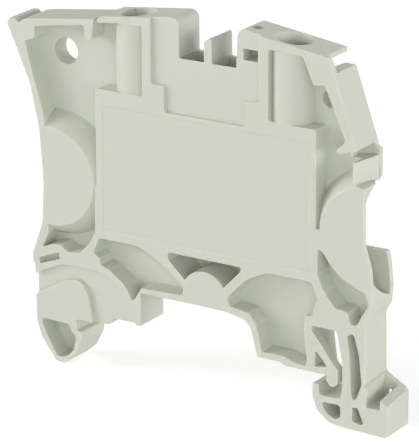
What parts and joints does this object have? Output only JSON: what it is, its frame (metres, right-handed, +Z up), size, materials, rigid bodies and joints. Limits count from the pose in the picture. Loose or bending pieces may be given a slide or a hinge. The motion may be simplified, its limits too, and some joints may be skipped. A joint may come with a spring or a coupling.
{
  "type": "feed-through terminal block",
  "caption": "Slim moulded feed-through terminal block: screw clamps at both ends of a current bar, jumper slots in the roof and a sprung foot that snaps onto a top-hat rail.",
  "frame": {"origin": "middle of the 35 mm rail, on the plane where the rail's lips seat, in the middle of the block's thickness", "axes": "+X along the block towards the sprung foot, +Y through the thickness towards the open side, +Z up, away from the rail"},
  "size_m": [0.0541, 0.0052, 0.0473],
  "materials": {
    "moulding": "light grey moulded polyamide, fine satin texture",
    "bar_metal": "tinned copper alloy, satin",
    "clamp_steel": "zinc plated, satin",
    "screw_steel": "zinc plated, bright"
  },
  "bodies": {
    "block": {"housing": "moulding", "current_bar": "bar_metal"},
    "cage_left": {"clamp_cage_left": "clamp_steel"},
    "cage_right": {"clamp_cage_right": "clamp_steel"},
    "screw_left": {"clamp_screw_left": "screw_steel"},
    "screw_right": {"clamp_screw_right": "screw_steel"}
  },
  "joints": [
    {"name": "screw_left_turn", "type": "hinge", "parent": "block", "child": "screw_left", "pos_m": [-0.00965, 0.00015, 0.024], "axis": [0, 0, -1], "range_deg": [0, 1800]},
    {"name": "cage_left_lift", "type": "slide", "parent": "block", "child": "cage_left", "axis": [0, 0, 1], "range_m": [0, 0.0025]},
    {"name": "screw_right_turn", "type": "hinge", "parent": "block", "child": "screw_right", "pos_m": [0.01235, 0.00015, 0.024], "axis": [0, 0, -1], "range_deg": [0, 1800]},
    {"name": "cage_right_lift", "type": "slide", "parent": "block", "child": "cage_right", "axis": [0, 0, 1], "range_m": [0, 0.0025]}
  ],
  "couplings": [
    {"joint": "screw_left_turn", "follows": "cage_left_lift", "rad_per_m": 12566},
    {"joint": "screw_right_turn", "follows": "cage_right_lift", "rad_per_m": 12566}
  ]
}
